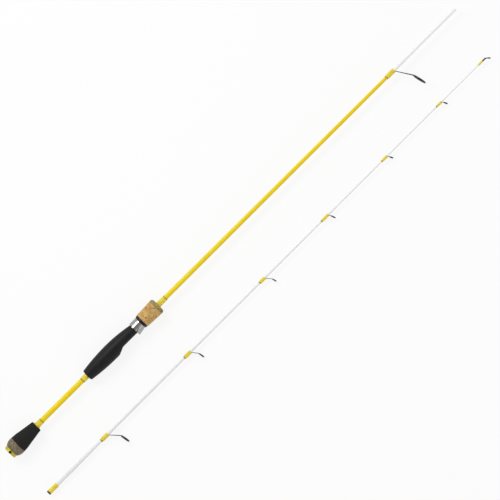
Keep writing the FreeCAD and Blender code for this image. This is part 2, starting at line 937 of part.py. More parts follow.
makeButtCap()
makeRearGrip()
makeButtBlank()
makeReelSeat()
makeSlidingHood()
makeForegrip()
makeButtWraps()
makeGuide("stripper", "stripper", s.buttLength - s.stripperBack, buttRadiusAt)
makeTipBlank()
for number, (key, wrapRear) in enumerate(wrapRears.items(), start=2):
    makeGuide(f"guide_{number}", key, wrapRear, tipRadiusAt, tipPlace)
makeTipTop()
checkModel()
os.makedirs("parts", exist_ok=True)
for body in bodies:
    body.Shape.exportStep(os.path.join("parts", body.Label + ".step"))
print(f"{len(bodies)} parts written")
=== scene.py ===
import json
import math

import bmesh
import bpy
from mathutils import Matrix, Vector
from mathutils import noise as perlin


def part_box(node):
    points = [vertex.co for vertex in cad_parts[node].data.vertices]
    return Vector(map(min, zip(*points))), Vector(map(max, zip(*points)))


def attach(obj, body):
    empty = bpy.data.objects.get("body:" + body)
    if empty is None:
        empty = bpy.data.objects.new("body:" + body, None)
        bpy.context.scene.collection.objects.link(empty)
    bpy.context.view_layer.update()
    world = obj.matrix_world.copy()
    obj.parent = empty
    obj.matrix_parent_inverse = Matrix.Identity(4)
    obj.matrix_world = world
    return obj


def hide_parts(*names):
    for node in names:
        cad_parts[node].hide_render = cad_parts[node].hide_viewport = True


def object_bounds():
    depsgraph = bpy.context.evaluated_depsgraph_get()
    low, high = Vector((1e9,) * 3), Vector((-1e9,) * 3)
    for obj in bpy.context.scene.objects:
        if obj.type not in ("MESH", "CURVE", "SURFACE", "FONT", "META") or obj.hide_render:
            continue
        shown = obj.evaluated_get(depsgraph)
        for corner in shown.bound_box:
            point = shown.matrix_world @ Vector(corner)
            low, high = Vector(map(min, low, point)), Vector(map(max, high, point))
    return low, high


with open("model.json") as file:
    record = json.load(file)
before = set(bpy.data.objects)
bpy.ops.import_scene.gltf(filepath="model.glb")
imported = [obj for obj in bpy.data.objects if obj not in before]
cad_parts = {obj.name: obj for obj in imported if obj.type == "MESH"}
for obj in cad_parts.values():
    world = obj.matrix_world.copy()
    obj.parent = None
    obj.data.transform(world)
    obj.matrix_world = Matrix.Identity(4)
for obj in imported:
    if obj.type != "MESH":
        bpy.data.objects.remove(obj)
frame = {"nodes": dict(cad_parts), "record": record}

cadLow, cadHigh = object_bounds()
nodes = frame["nodes"]
mm = 0.001
print("frame loaded:", len(nodes), "nodes")


def paint(red, green, blue):
    # A colour as a screen shows it, 0 to 255, turned into the shader's linear values.
    def linear(channel):
        share = channel / 255
        return share / 12.92 if share <= 0.04045 else ((share + 0.055) / 1.055) ** 2.4

    return linear(red), linear(green), linear(blue), 1.0


# Node helpers


def addNode(tree, kind, inputs=None, **settings):
    node = tree.nodes.new(kind)
    for name, value in settings.items():
        setattr(node, name, value)
    for name, value in (inputs or {}).items():
        if isinstance(value, bpy.types.NodeSocket):
            tree.links.new(value, node.inputs[name])
        else:
            node.inputs[name].default_value = value
    return node


def newMaterial(name, color, roughness, sockets):
    material = bpy.data.materials.new(name)
    material.use_nodes = True
    shader = material.node_tree.nodes["Principled BSDF"]
    shader.inputs["Base Color"].default_value = color
    shader.inputs["Roughness"].default_value = roughness
    for socket, value in sockets.items():
        shader.inputs[socket].default_value = value
    return material, material.node_tree, shader


def vectorMaths(tree, operation, first, second):
    return addNode(tree, "ShaderNodeVectorMath", {0: first, 1: second}, operation=operation).outputs[0]


def objectPoint(tree, scale=None):
    point = addNode(tree, "ShaderNodeTexCoord").outputs["Object"]
    return vectorMaths(tree, "MULTIPLY", point, scale) if scale else point


def objectX(tree):
    return addNode(tree, "ShaderNodeSeparateXYZ", {0: objectPoint(tree)}).outputs[0]


def noise(tree, point, size, detail=2.0, roughness=0.5):
    inputs = {"Vector": point, "Scale": 1 / size, "Detail": detail, "Roughness": roughness}
    return addNode(tree, "ShaderNodeTexNoise", inputs).outputs["Fac"]


def stripes(tree, point, pitch, distortion=0.0):
    # Bands across the rod, one in each pitch.
    turnPerUnit = 20  # radians, of the wave at scale 1
    inputs = {"Vector": point, "Scale": math.tau / (turnPerUnit * pitch), "Distortion": distortion}
    return addNode(tree, "ShaderNodeTexWave", inputs).outputs["Fac"]


def ramp(tree, value, stops, interpolation="LINEAR"):
    node = addNode(tree, "ShaderNodeValToRGB", {"Fac": value})
    node.color_ramp.interpolation = interpolation
    elements = node.color_ramp.elements
    while len(elements) < len(stops):
        elements.new(1.0)
    for element, (place, color) in zip(elements, stops):
        element.position = place
        element.color = color
    return node.outputs["Color"]


def remap(tree, value, low, high, fromLow=0.0, fromHigh=1.0):
    inputs = {"Value": value, "From Min": fromLow, "From Max": fromHigh, "To Min": low, "To Max": high}
    return addNode(tree, "ShaderNodeMapRange", inputs).outputs[0]


def maths(tree, operation, first, second=0.0):
    return addNode(tree, "ShaderNodeMath", {0: first, 1: second}, operation=operation).outputs[0]


def mixColor(tree, share, first, second):
    inputs = {0: share, 6: first, 7: second}
    return addNode(tree, "ShaderNodeMix", inputs, data_type="RGBA").outputs[2]


def setBump(tree, shader, height, distance):
    bump = addNode(tree, "ShaderNodeBump", {"Height": height, "Distance": distance})
    tree.links.new(bump.outputs[0], shader.inputs["Normal"])


def setColor(tree, shader, color):
    tree.links.new(color, shader.inputs["Base Color"])


def setRoughness(tree, shader, value, low, high):
    tree.links.new(remap(tree, value, low, high), shader.inputs["Roughness"])


# Finishes

lacquer = {
    "yellow": (paint(240, 214, 8), paint(228, 197, 4)),
    "white": (paint(246, 246, 246), paint(238, 239, 240)),
    "pearl": (paint(236, 236, 236), paint(227, 227, 228)),
    "colorEdge": 795.5 * mm,  # under the stripper guide's wrap
    "mottle": 22 * mm,
    "tapePitch": 0.9 * mm,
    "tapeWaver": 0.6,
    "tapeRelief": 0.0008 * mm,
    "roughness": 0.34,
    "roughRange": (0.3, 0.38),
}


def blankFinish(name, front, rear=None):
    gloss = {"Specular IOR Level": 0.12, "Coat Weight": 0.18, "Coat Roughness": 0.14}
    material, tree, shader = newMaterial(name, lacquer[front][0], lacquer["roughness"], gloss)
    point = objectPoint(tree)
    mottle = noise(tree, point, lacquer["mottle"])
    color = mixColor(tree, mottle, *lacquer[front])
    if rear:
        ahead = maths(tree, "GREATER_THAN", objectX(tree), lacquer["colorEdge"])
        color = mixColor(tree, ahead, mixColor(tree, mottle, *lacquer[rear]), color)
    setColor(tree, shader, color)
    tape = stripes(tree, point, lacquer["tapePitch"], lacquer["tapeWaver"])
    setBump(tree, shader, tape, lacquer["tapeRelief"])
    setRoughness(tree, shader, mottle, *lacquer["roughRange"])
    return material


thread = {
    "gold": paint(247, 228, 62),
    "goldDark": paint(212, 188, 42),
    "olive": paint(216, 187, 38),
    "oliveDark": paint(146, 118, 30),
    "brown": paint(88, 70, 34),
    "brownDark": paint(48, 38, 22),
    "bandFront": 0.7 * mm,  # the ferrule's band, behind this, is brown
    "pitch": 0.3 * mm,
    "relief": 0.03 * mm,
    "patch": 3 * mm,
    "fibre": 0.25 * mm,
    "fibreStretch": (1.0, 0.2, 0.2),
    "fibreRelief": 0.004 * mm,
    "shadeRange": (0.12, 0.34),  # of patch times fibre, from the dark to the light colour
    "roughness": 0.4,
    "roughRange": (0.3, 0.42),
}


def threadFinish(name, light, dark, striped=False):
    gloss = {"Specular IOR Level": 0.25, "Coat Weight": 0.45, "Coat Roughness": 0.06}
    material, tree, shader = newMaterial(name, thread[light], thread["roughness"], gloss)
    point = objectPoint(tree)
    patch = noise(tree, point, thread["patch"], detail=3.0)
    fibres = noise(tree, objectPoint(tree, thread["fibreStretch"]), thread["fibre"])
    shade = remap(tree, maths(tree, "MULTIPLY", patch, fibres), 0.0, 1.0, *thread["shadeRange"])
    if striped:
        turns = stripes(tree, point, thread["pitch"])
        shade = maths(tree, "MULTIPLY", shade, turns)
        brown = mixColor(tree, shade, thread["brownDark"], thread["brown"])
        behind = maths(tree, "LESS_THAN", objectX(tree), thread["bandFront"])
        olive = mixColor(tree, shade, thread[dark], thread[light])
        setColor(tree, shader, mixColor(tree, behind, olive, brown))
        setBump(tree, shader, turns, thread["relief"])
    else:
        setColor(tree, shader, mixColor(tree, shade, thread[dark], thread[light]))
        setBump(tree, shader, fibres, thread["fibreRelief"])
    setRoughness(tree, shader, patch, *thread["roughRange"])
    return material


cork = {
    "tan": paint(201, 163, 97),
    "tanLight": paint(217, 185, 126),
    "tanDark": paint(160, 118, 60),
    "pit": paint(96, 62, 30),
    "patch": 6 * mm,
    "grain": 1.6 * mm,
    "speck": 0.9 * mm,
    "fine": 0.35 * mm,
    "grainShare": 0.65,  # of the grain in the colour, the rest is the patches'
    "tonesAt": (0.36, 0.5, 0.62),
    "speckRange": (0.6, 0.68),
    "speckShare": 0.8,
    "fineShare": 0.3,
    "relief": 0.08 * mm,
    "roughness": 0.75,
    "roughRange": (0.68, 0.85),
}
burl = {
    "grey": (
        (0.0, paint(108, 97, 78)),
        (0.2, paint(138, 125, 100)),
        (0.38, paint(120, 112, 93)),
        (0.56, paint(152, 137, 108)),
        (0.7, paint(98, 86, 69)),
        (0.86, paint(129, 121, 103)),
    ),
    "brown": (
        (0.0, paint(134, 117, 68)),
        (0.2, paint(174, 154, 97)),
        (0.38, paint(151, 135, 82)),
        (0.56, paint(188, 168, 112)),
        (0.7, paint(122, 103, 60)),
        (0.86, paint(162, 148, 95)),
    ),
    "binder": paint(74, 62, 46),
    "chip": 1.7 * mm,
    "crumb": 0.8 * mm,
    "warp": (1.3 * mm,) * 3,
    "patch": 3.4 * mm,
    "crumbRange": (0.49, 0.53),  # of the patches, from chips to crumbs
    "grain": 0.35 * mm,
    "grainRange": (0.45, 0.7),
    "grainShare": 0.35,
    "seam": 0.07,
    "seamShare": 0.3,
    "relief": 0.04 * mm,
    "roughness": 0.7,
    "roughRange": (0.6, 0.8),
}


def corkFinish():
    material, tree, shader = newMaterial(
        "naturalCork", cork["tan"], cork["roughness"], {"Specular IOR Level": 0.2}
    )
    point = objectPoint(tree)
    broad = noise(tree, point, cork["patch"])
    grain = noise(tree, point, cork["grain"], detail=4.0, roughness=0.62)
    grainPart = maths(tree, "MULTIPLY", grain, cork["grainShare"])
    broadPart = maths(tree, "MULTIPLY", broad, 1 - cork["grainShare"])
    tones = (cork["tanDark"], cork["tan"], cork["tanLight"])
    base = ramp(tree, maths(tree, "ADD", grainPart, broadPart), list(zip(cork["tonesAt"], tones)))
    pit = addNode(tree, "ShaderNodeAttribute", attribute_name="pit").outputs["Fac"]
    # Small specks between the modelled pits.
    crumbs = noise(tree, point, cork["speck"], detail=3.0, roughness=0.7)
    specks = remap(tree, crumbs, 0.0, cork["speckShare"], *cork["speckRange"])
    dark = maths(tree, "MINIMUM", maths(tree, "ADD", pit, specks), 1.0)
    setColor(tree, shader, mixColor(tree, dark, base, cork["pit"]))
    fine = maths(tree, "MULTIPLY", noise(tree, point, cork["fine"]), cork["fineShare"])
    setBump(tree, shader, maths(tree, "SUBTRACT", fine, specks), cork["relief"])
    setRoughness(tree, shader, grain, *cork["roughRange"])
    return material


def burlFinish(name, chipColors):
    material, tree, shader = newMaterial(
        name, burl["binder"], burl["roughness"], {"Specular IOR Level": 0.2}
    )
    point = objectPoint(tree)
    warp = addNode(tree, "ShaderNodeTexNoise", {"Vector": point, "Scale": 1 / burl["chip"], "Detail": 3.0})
    shift = vectorMaths(tree, "MULTIPLY", warp.outputs["Color"], burl["warp"])
    place = vectorMaths(tree, "ADD", point, shift)

    def granules(size):
        inputs = {"Vector": place, "Scale": 1 / size}
        cells = addNode(tree, "ShaderNodeTexVoronoi", inputs)
        pick = addNode(tree, "ShaderNodeSeparateColor", {0: cells.outputs["Color"]}).outputs[0]
        edges = addNode(tree, "ShaderNodeTexVoronoi", inputs, feature="DISTANCE_TO_EDGE")
        seam = remap(tree, edges.outputs["Distance"], 1.0, 0.0, 0.0, burl["seam"])
        return ramp(tree, pick, burl[chipColors], "CONSTANT"), seam

    large, largeSeam = granules(burl["chip"])
    small, smallSeam = granules(burl["crumb"])
    among = remap(tree, noise(tree, point, burl["patch"]), 0.0, 1.0, *burl["crumbRange"])
    color = mixColor(tree, among, large, small)
    seam = addNode(tree, "ShaderNodeMix", {0: among, 2: largeSeam, 3: smallSeam}).outputs[0]
    color = mixColor(tree, maths(tree, "MULTIPLY", seam, burl["seamShare"]), color, burl["binder"])
    grain = noise(tree, point, burl["grain"], detail=3.0)
    darkGrain = remap(tree, grain, 0.0, burl["grainShare"], *burl["grainRange"])
    setColor(tree, shader, mixColor(tree, darkGrain, color, burl["binder"]))
    setBump(tree, shader, maths(tree, "SUBTRACT", grain, seam), burl["relief"])
    setRoughness(tree, shader, grain, *burl["roughRange"])
    return material


foam = {
    "color": paint(30, 30, 29),
    "light": paint(46, 46, 44),
    "cell": 0.4 * mm,
    "cellRange": (0.0, 0.6),
    "cellShare": (1.0, 0.2),  # of the light colour, from the middle of a cell outwards
    "patch": 5 * mm,
    "wearRange": (0.3, 0.7),
    "leastWear": 0.3,
    "relief": 0.08 * mm,
    "roughness": 0.85,
    "roughRange": (0.8, 0.9),
}


def foamFinish():
    material, tree, shader = newMaterial(
        "gripFoam", foam["color"], foam["roughness"], {"Specular IOR Level": 0.15}
    )
    point = objectPoint(tree)
    cells = addNode(tree, "ShaderNodeTexVoronoi", {"Vector": point, "Scale": 1 / foam["cell"]})
    depth = cells.outputs["Distance"]
    patch = noise(tree, point, foam["patch"], detail=4.0)
    wear = remap(tree, patch, foam["leastWear"], 1.0, *foam["wearRange"])
    light = remap(tree, depth, *foam["cellShare"], *foam["cellRange"])
    share = maths(tree, "MULTIPLY", light, wear)
    setColor(tree, shader, mixColor(tree, share, foam["color"], foam["light"]))
    setBump(tree, shader, maths(tree, "MULTIPLY", depth, -1.0), foam["relief"])
    setRoughness(tree, shader, patch, *foam["roughRange"])
    return material


moulded = {
    # base and light colour, roughness, relief, specular
    "seat": (paint(22, 22, 22), paint(34, 34, 33), 0.46, 0.012 * mm, 0.15),
    "nut": (paint(18, 18, 18), paint(30, 30, 29), 0.34, 0.006 * mm, 0.22),
    "liner": (paint(26, 26, 27), paint(38, 38, 39), 0.5, 0.01 * mm, 0.15),
    "rubber": (paint(26, 26, 26), paint(40, 40, 39), 0.7, 0.02 * mm, 0.15),
    "arbor": (paint(205, 198, 180), paint(220, 214, 198), 0.6, 0.02 * mm, 0.2),
    "patch": 9 * mm,
    "grain": 0.25 * mm,
    "roughSpread": 0.06,
}


def mouldedFinish(name, kind):
    base, light, roughness, relief, specular = moulded[kind]
    material, tree, shader = newMaterial(name, base, roughness, {"Specular IOR Level": specular})
    point = objectPoint(tree)
    patch = noise(tree, point, moulded["patch"], detail=3.0)
    setColor(tree, shader, mixColor(tree, patch, base, light))
    setBump(tree, shader, noise(tree, point, moulded["grain"]), relief)
    spread = moulded["roughSpread"]
    setRoughness(tree, shader, patch, roughness - spread, roughness + spread)
    return material


metal = {
    "hood": (paint(178, 178, 176), paint(148, 147, 144)),
    "guide": (paint(80, 82, 84), paint(54, 56, 58)),
    "dark": (paint(66, 67, 70), paint(44, 45, 48)),
    "brush": 0.12 * mm,
    "brushLength": 14.0,  # how many times longer than wide a brush mark is
    "relief": 0.003 * mm,
    "stain": 6 * mm,
    "smoother": 0.05,  # and rougher, where it is stained
    "rougher": 0.08,
}


def metalFinish(name, kind, roughness, around=True):
    material, tree, shader = newMaterial(name, metal[kind][0], roughness, {"Metallic": 1.0})
    point = objectPoint(tree)
    stain = noise(tree, point, metal["stain"], detail=3.0)
    setColor(tree, shader, mixColor(tree, stain, *metal[kind]))
    long = 1 / metal["brushLength"]
    marks = (1.0, long, long) if around else (long, 1.0, 1.0)
    brush = noise(tree, objectPoint(tree, marks), metal["brush"])
    setBump(tree, shader, brush, metal["relief"])
    setRoughness(tree, shader, stain, roughness - metal["smoother"], roughness + metal["rougher"])
    return material


capPaint = {
    "yellow": paint(201, 189, 28),
    "deep": paint(178, 160, 16),
    "patch": 6 * mm,
    "orangePeel": 0.9 * mm,
    "relief": 0.01 * mm,
    "roughness": 0.3,
    "roughRange": (0.25, 0.38),
}


def capFinish():
    gloss = {"Metallic": 0.25, "Specular IOR Level": 0.3, "Coat Weight": 0.4, "Coat Roughness": 0.08}
    material, tree, shader = newMaterial("yellowEnamel", capPaint["yellow"], capPaint["roughness"], gloss)
    point = objectPoint(tree)
    peel = noise(tree, point, capPaint["orangePeel"])
    patch = noise(tree, point, capPaint["patch"])
    setColor(tree, shader, mixColor(tree, patch, capPaint["yellow"], capPaint["deep"]))
    setBump(tree, shader, peel, capPaint["relief"])
    setRoughness(tree, shader, peel, *capPaint["roughRange"])
    return material


ceramic = {
    "black": paint(12, 12, 13),
    "grey": paint(24, 24, 26),
    "patch": 2 * mm,
    "grain": 0.2 * mm,
    "relief": 0.001 * mm,
    "roughness": 0.16,
    "roughRange": (0.12, 0.24),
}


def ceramicFinish():
    material, tree, shader = newMaterial(
        "ringCeramic", ceramic["black"], ceramic["roughness"], {"Specular IOR Level": 0.3}
    )
    point = objectPoint(tree)
    patch = noise(tree, point, ceramic["patch"], detail=3.0)
    setColor(tree, shader, mixColor(tree, patch, ceramic["black"], ceramic["grey"]))
    setBump(tree, shader, noise(tree, point, ceramic["grain"]), ceramic["relief"])
    setRoughness(tree, shader, patch, *ceramic["roughRange"])
    return material


finishes = {
    "yellow_metal": capFinish(),
    "black_rubber": mouldedFinish("blackRubber", "rubber"),
    "composite_cork": burlFinish("greyCompositeCork", "grey"),
    "tan_cork": corkFinish(),
    "dark_cork": burlFinish("brownCompositeCork", "brown"),
    "foam": foamFinish(),
    "seat_black": mouldedFinish("seatPlastic", "seat"),
    "arbor": mouldedFinish("arborPlastic", "arbor"),
    "hood_metal": metalFinish("hoodSteel", "hood", 0.2),
    "hood_liner": mouldedFinish("linerPlastic", "liner"),
    "nut_black": mouldedFinish("nutPlastic", "nut"),
    "yellow_blank": blankFinish("yellowWhiteLacquer", "white", "yellow"),
    "white_blank": blankFinish("pearlLacquer", "pearl"),
    "gold_thread": threadFinish("goldThread", "gold", "goldDark"),
    "dark_thread": threadFinish("oliveThread", "olive", "oliveDark", striped=True),
    "dark_metal": metalFinish("darkSteel", "dark", 0.34, around=False),
    "guide_metal": metalFinish("guideSteel", "guide", 0.3, around=False),
    "ring_ceramic": ceramicFinish(),
}
slotOf = {part["node"]: part["material_slot"] for part in frame["record"]["subparts"]}
bodies = frame["record"]["behaviour"]["bodies"]
bodyOf = {name: body for body, names in bodies.items() for name in names}
for name, piece in nodes.items():
    piece.data.materials.clear()
    piece.data.materials.append(finishes[slotOf[name]])
print("finishes:", len(bpy.data.materials))


# Mesh helpers


def finishMesh(mesh, name, crisp=40):
    # Turns the faces outwards and keeps the edges sharper than this angle crisp.
    mesh.normal_update()
    bmesh.ops.recalc_face_normals(mesh, faces=mesh.faces)
    for face in mesh.faces:
        face.smooth = True
    for edge in mesh.edges:
        edge.smooth = edge.calc_face_angle(0) < math.radians(crisp)
    data = bpy.data.meshes.new(name)
    mesh.to_mesh(data)
    mesh.free()
    return data


def newPiece(data, body, slotName, replaced=None):
    data.materials.clear()
    data.materials.append(finishes[slotName])
    piece = bpy.data.objects.new(data.name, data)
    bpy.context.scene.collection.objects.link(piece)
    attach(piece, body)
    if replaced:
        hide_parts(replaced)
    return piece


def joinRows(mesh, rows):
    for row, following in zip(rows, rows[1:]):
        for index in range(len(row)):
            after = (index + 1) % len(row)
            mesh.faces.new((row[index], row[after], following[after], following[index]))


def arcSteps(first, last, count):
    return [math.radians(first + (last - first) * step / count) for step in range(count + 1)]


def lathe(mesh, profile, place, segments=72, lean=0.0, pitAt=None, pitDepth=0.0):
    # Turns a closed profile of (along, radius) points about an axis in the XY plane.
    turnBy = Matrix.Rotation(lean, 3, "Z")
    layer = mesh.verts.layers.float.new("pit") if pitAt else None
    rows = []
    for step in range(segments):
        angle = math.tau * step / segments
        side = Vector((0, math.cos(angle), math.sin(angle)))
        row = []
        for along, radius in profile:
            point = Vector((along, 0, 0)) + side * radius
            pit = pitAt(point) if pitAt else 0.0
            vertex = mesh.verts.new(turnBy @ (point - side * pit * pitDepth) + place)
            if pitAt:
                vertex[layer] = pit
            row.append(vertex)
        rows.append(row)
    joinRows(mesh, rows + rows[:1])


def roundedBox(halfWide, halfHigh, radius, steps=3):
    flat, level = halfWide - radius, halfHigh - radius
    points = []
    for quarter, (x, y) in enumerate(((1, 1), (-1, 1), (-1, -1), (1, -1))):
        corner = arcSteps(90 * quarter, 90 * (quarter + 1), steps)
        points += [(flat * x + radius * math.cos(a), level * y + radius * math.sin(a)) for a in corner]
    return points


def smoothPath(points, steps=8):
    # A Catmull-Rom curve through the points.
    ends = [points[0] * 2 - points[1], *points, points[-1] * 2 - points[-2]]
    path = []
    for a, b, c, d in zip(ends, ends[1:], ends[2:], ends[3:]):
        square = a * 2 - b * 5 + c * 4 - d
        cube = (b - c) * 3 + d - a
        for u in (step / steps for step in range(steps)):
            path.append(b + ((c - a) * u + square * u**2 + cube * u**3) / 2)
    return path + [points[-1]]


def sweep(mesh, path, sizeAt, edgeShare):
    # A strip with rounded edges along a path, this wide along Z and this thick.
    rows = []
    for index, point in enumerate(path):
        tangent = (path[min(index + 1, len(path) - 1)] - path[max(index - 1, 0)]).normalized()
        across = (Vector((0, 0, 1)) - tangent * tangent.z).normalized()
        normal = tangent.cross(across)
        wide, thick = sizeAt(index / (len(path) - 1))
        outline = roundedBox(wide / 2, thick / 2, min(wide, thick) * edgeShare)
        rows.append([mesh.verts.new(point + across * x + normal * y) for x, y in outline])
    joinRows(mesh, rows)
    mesh.faces.new(rows[0])
    mesh.faces.new(rows[-1])


def middle(name):
    low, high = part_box(name)
    return (low + high) / 2


# Line guides: a bent strip of steel from the wrap to a hoop, with a polished ring in it

guides = {
    # the ring's lean in degrees, the legs' gauge, width and number, the ring's width, the hole as a share
    "stripper": (12.5, 1.0, 1.6, 2, 2.5, 0.78),
    "guide_2": (10.0, 0.95, 1.35, 2, 2.4, 0.74),
    "guide_3": (9.0, 0.9, 1.0, 2, 2.1, 0.71),
    "guide_4": (15.0, 0.85, 0.85, 2, 1.9, 0.69),
    "guide_5": (20.0, 0.95, 1.6, 1, 2.0, 0.68),
    "guide_6": (25.0, 0.95, 1.4, 1, 2.0, 0.68),
    "guide_7": (25.0, 0.95, 1.3, 1, 2.0, 0.68),
    "tip_top": (45.0, 1.0, 1.4, 1, 1.8, 0.63),
}
guideForm = {
    "hoopDepth": 0.62 * mm,
    "hoopShare": 0.7,  # of the sheet's gauge
    "proud": 0.03 * mm,
    "tongue": 0.5 * mm,
    "footRun": 3.0 * mm,
    "footShare": 0.28,  # depth of the foot's centre line, as a share of the gauge
    "footLift": 0.18 * mm,  # its rear end lies this much deeper under the thread
    "neckRoot": 1.5 * mm,  # how far the tip-top's neck starts inside the tube
    "bendAhead": 0.4,  # of the wrap, as a share of the gauge
    "bendRun": {2: 0.6 * mm, 1: 1.0 * mm},  # how far the bend at the wrap reaches, by the number of legs
    "turnIn": {2: 0.55, 1: 0.2},  # where on its length a leg starts to change its size, likewise
    "apart": 0.3,  # of two legs at the wrap, from the middle, as a share of their width
    "spread": 0.8,  # of a single leg at the hoop, as a share of the ring's radius
    "legEdge": 0.35,  # rounding of a leg, as a share of its lesser size
    "shoulder": 0.56,  # how far out along Z a leg is level with the rim, as a share of the ring's radius
    "hug": (0.87, 0.96),  # and how far out it then follows the hoop, as shares of the hoop's radius
    "hoopEdge": 0.4,  # rounding of the hoop, as a share of its half width
    "ringPlay": 0.02 * mm,
    "ringEdge": 0.22,  # rounding of the ring's rim, as a share of its width
    "ringBulge": 0.2,  # and of its inside
    "armGauge": 1.5 * mm,  # of the tip-top's neck
    "tube": 15.6 * mm,
    "tubeWall": 0.34 * mm,
    "tubeRim": ((0, 1), (0.1, 0.2), (0.5, 0)),  # along and in from the outside, as shares of the wall
    "tubeTurn": 85,  # degrees of its round front end
    "neckBend": (0.7, 0.35),  # ahead of the tube's round end and below its axis, as shares of its radius
    "pole": 0.01 * mm,
}


def tubeProfile(outer):
    closed, wall = guideForm["tube"] - outer, guideForm["tubeWall"]
    turn = arcSteps(0, guideForm["tubeTurn"], 6)
    rim = [(along * wall, outer - inward * wall) for along, inward in guideForm["tubeRim"]]
    front = [(closed + outer * math.sin(a), outer * math.cos(a)) for a in turn]
    return rim + front + [(closed, guideForm["pole"]), (closed, outer - wall)]


def ringProfile(radius, wide, hole):
    # Rounded at both rims, bulging on the inside.
    edge = wide * guideForm["ringEdge"]
    bulge = wide * guideForm["ringBulge"]
    half = wide / 2
    flat, level = half - edge, radius - guideForm["ringPlay"] - edge
    rim = arcSteps(0, 90, 4)
    profile = [(flat + edge * math.sin(a), level + edge * math.cos(a)) for a in rim]
    profile += [(half * math.cos(a), hole + bulge - bulge * math.sin(a)) for a in arcSteps(0, 180, 12)]
    return profile + [(-flat - edge * math.cos(a), level + edge * math.sin(a)) for a in rim]


def makeGuide(name, body):
    leanDegrees, gauge, leg, legs, wide, holeShare = guides[name]
    lean = math.radians(leanDegrees)
    gauge, leg, wide = gauge * mm, leg * mm, wide * mm
    ringLow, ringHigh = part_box(name + "_ring")
    frameLow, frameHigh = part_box(name + "_frame")
    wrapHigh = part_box(name + "_wrap")[1]
    centre = middle(name + "_ring")
    radius = (ringHigh.z - ringLow.z) / 2
    out = Vector((math.sin(lean), -math.cos(lean), 0))
    neck = centre - out * (radius + guideForm["tongue"])
    frameMesh = bmesh.new()

    if name == "tip_top":
        legGauge = guideForm["armGauge"]
        axisY = middle(name + "_wrap").y
        outer = frameHigh.y - axisY
        lathe(frameMesh, tubeProfile(outer), Vector((frameLow.x, axisY, centre.z)), segments=32)
        closed = frameLow.x + (guideForm["tube"] - outer)
        ahead, below = guideForm["neckBend"]
        foot = Vector((closed - guideForm["neckRoot"], axisY, centre.z))
        bend = Vector((closed + outer * ahead, axisY - outer * below, centre.z))
    else:
        legGauge = gauge
        footY = frameHigh.y - gauge * guideForm["footShare"]
        foot = Vector((wrapHigh.x - guideForm["footRun"], footY + guideForm["footLift"], centre.z))
        bend = Vector((wrapHigh.x + gauge * guideForm["bendAhead"], footY, centre.z))

    hoopDepth = guideForm["hoopDepth"]
    hoopGauge = gauge * guideForm["hoopShare"]
    hoopRadius = radius - hoopDepth / 2
    start = (leg, legGauge)
    end = (hoopDepth, hoopGauge) if legs == 2 else (max(leg, radius * guideForm["spread"]), legGauge)
    turnIn = guideForm["turnIn"][legs]

    def sizeAt(share):
        # The strip's width and thickness, changing from turnIn on.
        change = max(0.0, share - turnIn) / (1 - turnIn)
        return [first + (last - first) * change for first, last in zip(start, end)]

    bendRun = guideForm["bendRun"][legs]
    before = bend - Vector((bendRun, 0, 0))
    after = bend.lerp(neck, bendRun / (neck - bend).length)
    for sign in (1, -1) if legs == 2 else (0,):
        aside = Vector((0, 0, sign * leg * guideForm["apart"]))
        points = [foot + aside, before + aside, after + aside]
        if legs == 2:
            shoulder = centre - out * radius + Vector((0, 0, sign * radius * guideForm["shoulder"]))
            points += [bend.lerp(shoulder, 0.5), shoulder]
            for share in guideForm["hug"]:
                toward = Vector((0, 0, sign * share)) - out * math.sqrt(1 - share**2)
                points.append(centre + toward * hoopRadius)
        else:
            points += [neck, centre - out * hoopRadius]
        sweep(frameMesh, smoothPath(points), sizeAt, guideForm["legEdge"])

    halfWide = hoopGauge / 2
    outline = roundedBox(halfWide, hoopDepth / 2, halfWide * guideForm["hoopEdge"])
    hoop = [(x, hoopRadius + guideForm["proud"] + y) for x, y in outline]
    lathe(frameMesh, hoop, centre, lean=lean)
    newPiece(finishMesh(frameMesh, name + "_frame_bent"), body, slotOf[name + "_frame"], name + "_frame")

    ringMesh = bmesh.new()
    lathe(ringMesh, ringProfile(radius, wide, radius * holeShare), centre, segments=96, lean=lean)
    newPiece(finishMesh(ringMesh, name + "_ring_polished"), body, slotOf[name + "_ring"], name + "_ring")


for name in guides:
    makeGuide(name, "butt_section" if name == "stripper" else "tip_section")
print("guides:", len(guides))


# Thread: one tree winds the binding thread of every wrap and the screw thread of the reel seat

winding = {
    "pitch": 0.23 * mm,
    "thread": 0.13 * mm,
    "proud": 0.07 * mm,
    "ends": 0.8 * mm,
    "endDrop": 0.26 * mm,
    "points": 22,  # in a turn
    "sides": 6,
}
screw = {
    "barrelRadius": 7.1 * mm,
    "pitch": 2.0 * mm,
    "thread": 0.32 * mm,
    "depth": 0.12 * mm,  # of its centre line in the barrel
    "inset": 1.6 * mm,
    "keyHalfWidth": 2.1 * mm,
    "keyDepth": 1.25 * mm,
    "points": 64,
}
threadInputs = {
    "Rear X": "NodeSocketFloat",
    "Front X": "NodeSocketFloat",
    "Axis Y": "NodeSocketFloat",
    "Axis Z": "NodeSocketFloat",
    "Rear Radius": "NodeSocketFloat",
    "Front Radius": "NodeSocketFloat",
    "Pitch": "NodeSocketFloat",
    "Thread Radius": "NodeSocketFloat",
    "End Length": "NodeSocketFloat",
    "End Drop": "NodeSocketFloat",
    "Key Half Width": "NodeSocketFloat",
    "Key Depth": "NodeSocketFloat",
    "Points Per Turn": "NodeSocketInt",
    "Sides": "NodeSocketInt",
    "Material": "NodeSocketMaterial",
}


